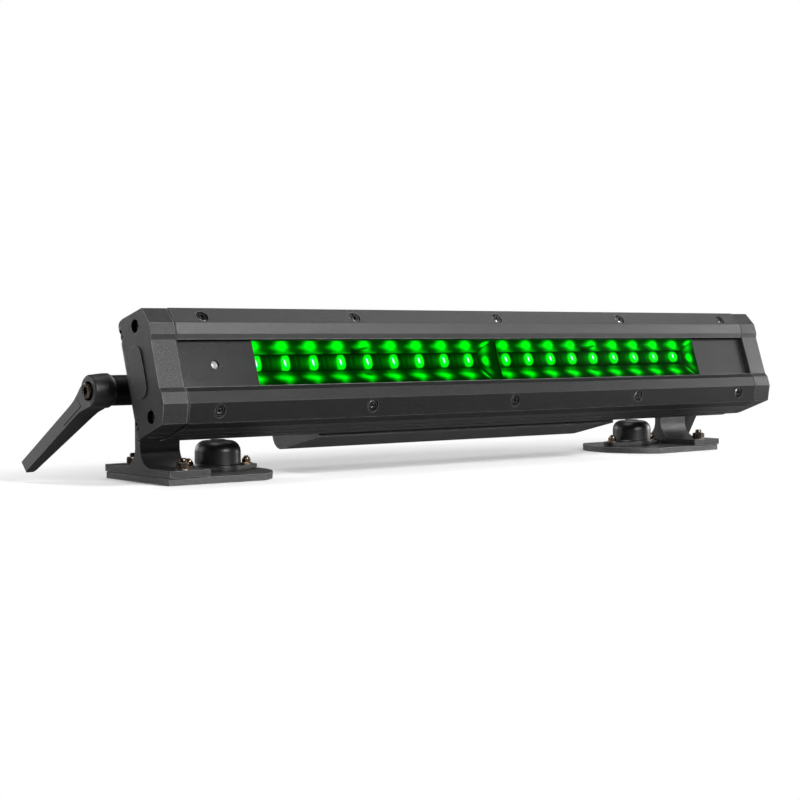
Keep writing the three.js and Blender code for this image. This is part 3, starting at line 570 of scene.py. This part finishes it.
def upper_glow(x, depth, height, module_sign):
    """Upper wall: painted reflections, a round blob over each LED, a wing to its left and a striped foot under it.
    """
    dx, order = offset_from_led(x, depth, module_sign)
    f = wall_share(depth, height, *UPPER_WALL)
    q = rightness(x)
    u = dx + 0.11 - 0.06 * q

    centre = 0.37 + 0.07 * q
    width = 0.235 if u < 0 else 0.22 - 0.03 * q
    tall = 0.5 - 0.16 * q if f < centre else 0.38
    core = edge(math.hypot(u / width, (f - centre) / tall) - 0.84, 0.17 - 0.04 * q)

    taper = clamp((0.54 + 0.05 * q + u) / 0.36)
    wing = 0.85 * taper ** 1.3 * bell(f - 0.47, 0.05 + 0.2 * taper) * edge(u, 0.05)

    stripes = 0.72 + 0.28 * math.cos((f - 0.9) * 44)
    reach = 0.15 + (1.3 - 1.1 * q) * max(0.0, f - 0.78)
    foot = (0.52 + 0.25 * q) * stripes * edge(abs(u - 0.03) - reach, 0.05) * edge(abs(f - 0.83) - 0.14, 0.025)

    haze = 0.03 + 0.04 * bell(f - 0.5, 0.25) + 0.035 * bell(u, 0.5) * bell(f - 0.8, 0.2)
    value = haze + 1.25 * core + wing * (1 - core) + foot
    if order == MIDDLE_LED:
        hook = bell(f - 0.6 + 0.42 * (u + 0.08), 0.1) * edge(abs(u + 0.13) - 0.22, 0.04)
        notch = edge(u + 0.1, 0.05) * edge(0.62 - f, 0.05)
        value *= 1 - 0.93 * max(hook, 0.85 * notch)
    if order == LAST_LED:
        value += 1.2 * leaf(dx - 0.7, 0.673 * (f - 0.34), -0.53, 0.2564, 0.1218)
    return value * edge(f - 0.985, 0.012)


def lower_glow(x, depth, height, module_sign):
    """Lower wall: painted reflections, a ridge under each LED that droops to the right, with a thin wing to its
    left.
    """
    dx, order = offset_from_led(x, depth, module_sign)
    f = wall_share(depth, height, *LOWER_WALL)
    q = rightness(x)
    u = dx + 0.13 + 0.1 * q

    crest = 0.53 - 0.06 * q - (0.17 + 0.18 * q) * u
    ridge = bell(f - crest, 0.17) * edge(abs(u) - 0.21, 0.06)
    skirt = 0.5 * edge(f - crest, 0.05) * bell(u - 0.07, 0.11) * edge(0.12 - f, 0.07)

    taper = clamp((0.54 - 0.08 * q + u) / 0.34)
    wing = 0.7 * taper ** 1.3 * bell(f - crest, 0.04 + 0.1 * taper) * edge(u, 0.05)

    haze = (0.16 + 0.14 * q) * bell(f - 0.86, 0.14) * bell(u + 0.05, 0.2)
    value = 0.014 + 0.02 * bell(f - 0.55, 0.3) + ridge + skirt + wing * (1 - ridge) + haze
    if order == MIDDLE_LED:
        hook = bell(f - 0.66 + 0.5 * u, 0.09) * edge(abs(u) - 0.14, 0.03)
        value *= 1 - 0.9 * hook
    if order == LAST_LED:
        value += 1.2 * leaf(dx - 0.62, 0.609 * (0.46 - f), 0.58, 0.2821, 0.109)
    return value * edge(f - 0.985, 0.012)


def floor_glow(x, depth, height, module_sign):
    """Floor: painted light, a patch round each LED, sharp on its right and trailing off to its left."""
    dx, _ = offset_from_led(x, depth, module_sign)
    dx += led_lag(x)
    q = rightness(x)
    s = (height - FLOOR_MIDDLE - 0.65 * q) / FLOOR_HALF
    above = max(0.0, s) ** 2
    below = min(0.0, s) ** 2
    right = 0.175 + 0.04 * q - 0.1 * q * above - (0.07 + 0.12 * q) * below
    left = -0.12 - 0.09 * q + (0.05 + 0.08 * q) * above - (0.08 - 0.16 * q) * below
    middle = (right + left) / 2
    tall = abs(s) / (0.96 - 0.24 * q)
    reach = abs(dx - middle) / ((right - left) / 2)
    roundness, softness = (4, 0.14) if dx > middle else (2.6, 0.3)
    patch = edge(reach ** roundness + tall ** 4 - 1, softness)
    trail = 0.5 * math.exp(min(0.0, dx - left) / 0.11) * edge(dx - middle, 0.04) * bell(s, 0.55)
    arcs = 0.05 * bell(abs(dx) - 0.4 - 0.04 * s * s, 0.035) * edge(abs(s) - 0.6, 0.1)
    haze = 0.012 + 0.02 * bell(s, 0.6) + 0.02 * bell(dx, 0.5) * bell(s, 0.6)
    return (haze + 1.25 * patch + trail * (1 - patch) + arcs) * edge(abs(s) - 0.98, 0.01)


def end_glow(share, t):
    """End wall: a painted reflection of the last LED, with a faint patch of painted light above it and one below.
    """
    ghost = 1.2 * edge(math.hypot((share - 0.53) / 0.2, (t - 0.67) / 0.2) - 0.85, 0.12)
    top = 0.8 * edge(0.8 - share, 0.03) * bell(t - 0.62, 0.2)
    low = 0.45 * bell(share - 0.2, 0.07) * bell(t - 0.58, 0.16)
    return 0.03 + ghost + top + low


def lit_mesh():
    """An empty mesh whose vertices carry a glow, and a function that adds one in the lamp's own frame."""
    bm = bmesh.new()
    glow = bm.verts.layers.float_color.new("glow")

    def vertex(x, depth, height, colour):
        v = bm.verts.new(lamp_point(x, depth, height))
        v[glow] = (*colour, 1.0)
        return v

    return bm, vertex


def green(value, blue_share=0.004):
    return (0.0, value, blue_share * value)


def trough_liner(side, sign):
    """The mirror of one LED module: two curved side walls, a floor and two end walls, with the LEDs' reflections
    and light painted on as glow.
    """
    bm, vertex = lit_mesh()
    columns = 520
    rows = 22
    floor_rows = 16
    end_rows = 24
    floor_depth = 16.45

    def painted_crease_shade(near):
        """Painted shade: the walls' glow darkens where they meet an end."""
        return 1 - 0.85 * math.exp(-near / 0.3)

    def place(column, inset):
        return sign * (MODULE_START + inset + (MODULE_LENGTH - 2 * inset) * column / columns)

    grid = []
    for i in range(columns + 1):
        dim = painted_crease_shade(min(i, columns - i) * MODULE_LENGTH / columns)
        upper, ground, lower = [], [], []
        for r in range(rows + 1):
            depth, inset, low, high = trough_section(r / rows)
            x = place(i, inset)
            upper.append(vertex(x, depth, high, green(upper_glow(x, depth, high, sign) * dim)))
            lower.append(vertex(x, depth, low, green(lower_glow(x, depth, low, sign) * dim)))
        for r in range(floor_rows + 1):
            height = high + (low - high) * r / floor_rows
            ground.append(vertex(x, floor_depth, height, green(floor_glow(x, floor_depth, height, sign))))
        grid.append(upper + ground + lower[::-1])
    skin(bm, grid)

    for i in (0, columns):
        lattice = []
        for r in range(rows + 1):
            depth, inset, low, high = trough_section(r / rows)
            x = place(i, inset)
            row = []
            for k in range(end_rows + 1):
                dim = painted_crease_shade(min(k, end_rows - k) * (high - low) / end_rows)
                height = low + (high - low) * k / end_rows
                row.append(vertex(x, depth, height, green(end_glow(k / end_rows, r / rows) * dim)))
            lattice.append(row)
        skin(bm, lattice)
        corners = ((depth, low), (floor_depth, low), (floor_depth, high), (depth, high))
        bm.faces.new([vertex(x, d, h, green(0.02)) for d, h in corners])

    obj = piece(f"{side}_trough_liner", bm, GLOW, "lamp", smooth=False)
    shade_smooth(obj)
    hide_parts(f"{side}_reflector")


def led_streaks(side, sign):
    """Streaks of light on the LED domes: white with blue-green ends, shorter towards the lamp's right."""
    bm, vertex = lit_mesh()
    long_steps = 12
    wide_steps = 6
    half_width = 0.7
    lean = 0.35
    for led in LEDS:
        x = sign * led - PITCH * led_lag(sign * led)
        middle = 3.9 + 0.003 * x
        half_length = 2.9 - 0.0022 * (x + 200)
        rows = []
        for i in range(long_steps + 1):
            along = -1 + 2 * i / long_steps
            width = half_width * math.sqrt(max(0.0, 1 - along ** 4))
            row = []
            for k in range(wide_steps + 1):
                across = -1 + 2 * k / wide_steps
                bulge = 0.3 * (1 - across * across) * (1 - along * along)
                white = edge(math.hypot(across, along / 0.9) - 0.8, 0.08)
                tint = (1 - white) * (1 - across * across)
                colour = (1.2 * max(0.0, 1.7 * white - 0.7), 1.2, 0.3 + 1.1 * white + 0.5 * tint)
                row.append(vertex(x + across * width - along * lean, DOME_DEPTH - bulge,
                                  middle + along * half_length, colour))
            rows.append(row)
        skin(bm, rows)
    piece(f"{side}_led_streaks", bm, GLOW, "lamp", smooth=False)


def printed_border():
    """The printed border behind the glass, with a clear window over the LEDs and a hole for the sensor."""
    bm = bmesh.new()
    depth = 3.58
    ends = 256.0
    window = 202.0
    window_low, window_high = -14.9, 15.45
    half = 19.0
    hole = 2.75
    sensor = -231.5
    steps = 32
    never = 1e9

    def point(x, height):
        return bm.verts.new(lamp_point(x, depth, height))

    def sheet(left, right, low, high):
        bm.faces.new([point(left, low), point(right, low), point(right, high), point(left, high)])

    sheet(window, ends, -half, half)
    sheet(-window, window, window_high, half)
    sheet(-window, window, -half, window_low)

    # The left field is built round the sensor's hole.
    ring = []
    outer = []
    for i in range(steps):
        a = 2 * math.pi * i / steps
        c, s = math.cos(a), math.sin(a)
        ring.append(point(sensor + hole * c, hole * s))
        edge_x = -window if c > 0 else -ends
        reach_x = (edge_x - sensor) / c if abs(c) > 1e-9 else never
        reach_z = half / abs(s) if abs(s) > 1e-9 else never
        reach = min(reach_x, reach_z)
        outer.append(point(sensor + reach * c, reach * s))
    field = [(-ends, -half), (-window, -half), (-window, half), (-ends, half)]
    for i in range(steps):
        j = (i + 1) % steps
        start, end = 2 * math.pi * i / steps, 2 * math.pi * (i + 1) / steps
        corners = [point(x, height) for x, height in field
                   if start < math.atan2(height, x - sensor) % (2 * math.pi) < end]
        bm.faces.new([ring[i], outer[i], *corners, outer[j], ring[j]])
    piece("printed_border", bm, INK, "lamp", smooth=False)


def module_divider():
    """A thin bar between the two LED modules, with a painted gleam of the LEDs' light near one edge and a faint
    painted glow elsewhere.
    """
    bm, vertex = lit_mesh()
    steps = 40
    half = 14.6
    rows = []
    for i in range(steps + 1):
        height = -half + 2 * half * i / steps
        # Painted highlight: the LEDs' light along the bar's right edge, brightest a little above its middle.
        painted_gleam = 0.75 * bell(height - 2.5, 6.0)
        section = ((-1.0, 5.6, 0.015), (-0.2, 4.95, 0.01), (0.15, 4.95, 0.02),
                   (0.45, 5.1, painted_gleam), (1.0, 5.6, 0.02))
        rows.append([vertex(x, depth, height, green(value, 0.0)) for x, depth, value in section])
    skin(bm, rows)
    piece("module_divider", bm, GLOW, "lamp", smooth=False)


for side, sign in SIDES:
    trough_liner(side, sign)
for side, sign in SIDES:
    led_streaks(side, sign)
printed_border()
module_divider()

# ---------------------------------------------------------------- small fixings
VERTICAL = (0, 0, 1)


def cap_screws(side, sign):
    """Four screws deep in the end cap's counterbores."""
    bm = bmesh.new()
    for depth, height in ((14.9, 28.3), (14.9, -28.3), (34.4, 28.0), (34.6, -30.0)):
        socket_screw(bm, lamp_point(sign * HALF_LAMP, depth, height), (sign, 0, 0),
                     head_radius=3.5, low=-5.9, top=-2.6, hex_flats=3.0, depth=1.7)
    piece(f"{side}_cap_screws", bm, SCREW_BLACK, "lamp")


def lug_screws(side, sign):
    """Two screws with washers that hold the pivot lug on the lamp's back."""
    bm = bmesh.new()
    for height in (-9.0, 15.0):
        centre = lamp_point(sign * 192, 45.4, height)
        lathe(bm, [(5.6, 0.0), (5.6, 0.9), (5.2, 1.1), (4.2, 1.1)], centre, BACK)
        socket_screw(bm, centre, BACK, head_radius=4.4, low=1.1, top=4.2, hex_flats=3.0, depth=1.9)
    piece(f"{side}_lug_screws", bm, SCREW_BLACK, "lamp")


def receptacle_nuts(side, sign):
    """Brass lock nuts with their washers and screw ends on the receptacle's ears."""
    bm = bmesh.new()
    receptacle, flange_top = 193, 7.62
    for offset, twist in ((-22, 0.35), (22, 0.9)):
        centre = foot_point(sign * receptacle + offset, 0, flange_top)
        lathe(bm, [(0, 0), (4.1, 0), (4.1, 0.6), (3.9, 0.75), (0, 0.75)], centre, VERTICAL, segments=28)
        hex_nut(bm, centre, VERTICAL, flats=5.5, low=0.8, high=3.4, twist=twist)
        lathe(bm, [(2.5, 3.35), (2.4, 4.0), (1.9, 4.3), (1.55, 4.3)], centre, VERTICAL, segments=28)
        lathe(bm, [(1.5, 3.8), (1.5, 5.0), (1.1, 5.4), (0, 5.4)], centre, VERTICAL, segments=20)
    piece(f"{side}_receptacle_nuts", bm, BRASS, f"{side}_foot")


def sleeve_washer(side, sign):
    """A bright washer between the spacer sleeve and the bracket."""
    bm = bmesh.new()
    centre = Vector((sign * 252.3 * MM, PIVOT.y, PIVOT.z))
    lathe(bm, [(9.2, 0.0), (9.75, 0.15), (9.75, 1.35), (9.2, 1.5)], centre, (sign, 0, 0), segments=48)
    piece(f"{side}_sleeve_washer", bm, ZINC, f"{side}_foot")


def bracket_washers(side, sign):
    """Washers under the bracket's nuts."""
    bm = bmesh.new()
    bracket_outside, bracket_width, bracket_top = 251.9, 28.7, 8.97
    for y in (-30, 30):
        centre = foot_point(sign * (bracket_outside - bracket_width / 2), y, bracket_top)
        lathe(bm, [(5.4, 0.0), (5.4, 0.22), (5.0, 0.28), (4.3, 0.28)], centre, VERTICAL)
    piece(f"{side}_bracket_washers", bm, BRONZE, f"{side}_foot")


def lift_coil(side, sign):
    """The spring inside the lever's hub, a coil of one fixed shape that rides on the clamp."""
    low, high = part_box(f"{side}_lift_spring")
    wire = 0.34 * MM
    gap = 0.36 * MM
    radius = (high.y - low.y) / 2 - gap
    start, end = (high.x, low.x) if sign < 0 else (low.x, high.x)
    inset = gap * (1 if end > start else -1)
    steps, turns, around = 84, 2.25, 8
    bm = bmesh.new()
    rings = []
    for i in range(steps + 1):
        t = i / steps
        angle = 2 * math.pi * turns * t
        out = Vector((0, math.cos(angle), math.sin(angle)))
        x = start + inset + (end - start - 2 * inset) * t
        centre = Vector((x, (low.y + high.y) / 2, (low.z + high.z) / 2)) + out * radius
        ring = []
        for k in range(around):
            a = 2 * math.pi * k / around
            ring.append(bm.verts.new(centre + wire * (math.cos(a) * out + math.sin(a) * Vector((1, 0, 0)))))
        rings.append(ring)
    skin(bm, rings, closed=True)
    bm.faces.new(rings[0][::-1])
    bm.faces.new(rings[-1])
    obj = piece(f"{side}_lift_coil", bm, ZINC, f"{side}_clamp", smooth=False)
    shade_smooth(obj)
    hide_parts(f"{side}_lift_spring")
    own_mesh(obj)


def driver_box_screws():
    """Cover screws round the back of the driver box, along its top and bottom edges."""
    bm = bmesh.new()
    for x in (-128, -45, 45, 128):
        for height in (-27, 27):
            centre = lamp_point(x, 92.5, height)
            lathe(bm, [(4.3, -0.1), (4.3, 0.25), (4.0, 0.4), (3.6, 0.4)], centre, BACK, segments=28)
            socket_screw(bm, centre, BACK, head_radius=3.6, low=0.3, top=2.2, hex_flats=2.5, depth=1.2)
    piece("driver_box_screws", bm, SCREW_BLACK, "lamp")


for side, sign in SIDES:
    for fixing in (cap_screws, lug_screws, receptacle_nuts, sleeve_washer, bracket_washers):
        fixing(side, sign)
for side, sign in SIDES:
    lift_coil(side, sign)
driver_box_screws()

# ---------------------------------------------------------------- stage, light and camera
scene = bpy.context.scene
scene.view_settings.view_transform = "Standard"
scene.view_settings.look = "None"

REACH = 8.0
floor_mesh = bpy.data.meshes.new("floor")
floor_mesh.from_pydata([(-REACH, -REACH, 0), (REACH, -REACH, 0), (REACH, REACH, 0), (-REACH, REACH, 0)],
                       [], [(0, 1, 2, 3)])
floor = bpy.data.objects.new("floor", floor_mesh)
floor.location.z = -0.2 * MM
scene.collection.objects.link(floor)


def floor_material():
    """Pale paper that runs out into plain white a little way from the object."""
    n = Nodes("floor_paper")
    path = n.add("ShaderNodeLightPath")
    n.link(n.mix(path.outputs["Is Camera Ray"], grey(0.24), grey(0.97)), n.shader.inputs["Base Color"])
    n.shader.inputs["Roughness"].default_value = 0.9
    n.shader.inputs["Specular IOR Level"].default_value = 0.0
    white = n.add("ShaderNodeEmission")
    white.inputs["Strength"].default_value = 1.0
    away = n.add("ShaderNodeVectorMath", operation="LENGTH")
    squeezed = n.add("ShaderNodeMapping")
    squeezed.inputs["Scale"].default_value = (0.75, 1.6, 1.0)
    n.link(n.coords, squeezed.inputs["Vector"])
    n.link(squeezed.outputs["Vector"], away.inputs[0])
    blend = n.add("ShaderNodeMixShader")
    seen = n.math("MULTIPLY", n.ramp(away.outputs["Value"], 0.16, 0.34), path.outputs["Is Camera Ray"])
    n.link(seen, blend.inputs[0])
    n.link(n.shader.outputs[0], blend.inputs[1])
    n.link(white.outputs[0], blend.inputs[2])
    output = n.tree.nodes["Material Output"]
    n.link(blend.outputs[0], output.inputs["Surface"])
    return n.material


floor_mesh.materials.append(floor_material())

# The room is white to the camera and dim to everything else.
world = bpy.data.worlds.new("studio")
scene.world = world
world.use_nodes = True
tree = world.node_tree
path = tree.nodes.new("ShaderNodeLightPath")
mix = tree.nodes.new("ShaderNodeMix")
mix.data_type = "RGBA"
mix.inputs[6].default_value = rgba(grey(0.1))
mix.inputs[7].default_value = rgba(grey(1.0))
tree.links.new(path.outputs["Is Camera Ray"], mix.inputs[0])
tree.links.new(mix.outputs[2], tree.nodes["Background"].inputs["Color"])


def softbox(name, location, target, size, power):
    light = bpy.data.lights.new(name, "AREA")
    light.shape = "RECTANGLE"
    light.size, light.size_y = size
    light.energy = power
    obj = bpy.data.objects.new(name, light)
    obj.location = location
    obj.rotation_euler = (Vector(target) - Vector(location)).to_track_quat("-Z", "Y").to_euler()
    scene.collection.objects.link(obj)


# Each softbox: its place, the place it is aimed at, its width and height in metres, and its power in watts.
softbox("front", (0.0, -1.1, 0.55), (0, 0, 0.08), (0.5, 0.5), 27)
softbox("right", (1.35, -0.25, 0.24), (0.2, 0, 0.06), (0.4, 0.5), 10)
softbox("right_fill", (1.52, -0.81, 0.65), (0.25, 0, 0.06), (0.7, 0.6), 1.4)
softbox("left_rear", (-1.2, 0.8, 0.35), (-0.28, 0, 0.06), (0.5, 0.8), 4)
softbox("top_right", (1.2, 0.55, 1.1), (0.1, 0, 0.06), (0.9, 0.9), 6.5)
softbox("overhead", (-0.25, 0.15, 1.6), (-0.1, 0, 0), (0.8, 0.8), 8)
softbox("rear_fill", (-0.35, 1.5, 0.3), (0, 0, 0.06), (1.0, 0.5), 6)

# The camera looks at the lamp from in front and from its left. Its place is in metres.
CAMERA_PLACE = Vector((-0.7769, PIVOT.y - 0.9102, 0.0909))
yaw, pitch, roll = math.radians(38.92), math.radians(2.21), math.radians(-0.11)
look = Vector((math.sin(yaw) * math.cos(pitch), math.cos(yaw) * math.cos(pitch), -math.sin(pitch)))
right = Vector((math.cos(yaw), -math.sin(yaw), 0))
above = right.cross(look)
right, above = (math.cos(roll) * right + math.sin(roll) * above,
                -math.sin(roll) * right + math.cos(roll) * above)
camera_data = bpy.data.cameras.new("camera")
camera_data.sensor_width = 36
camera_data.lens = 75.24
camera = bpy.data.objects.new("camera", camera_data)
turn = Matrix((right, above, -look)).transposed().to_4x4()
camera.matrix_world = Matrix.Translation(CAMERA_PLACE) @ turn
scene.collection.objects.link(camera)
scene.camera = camera
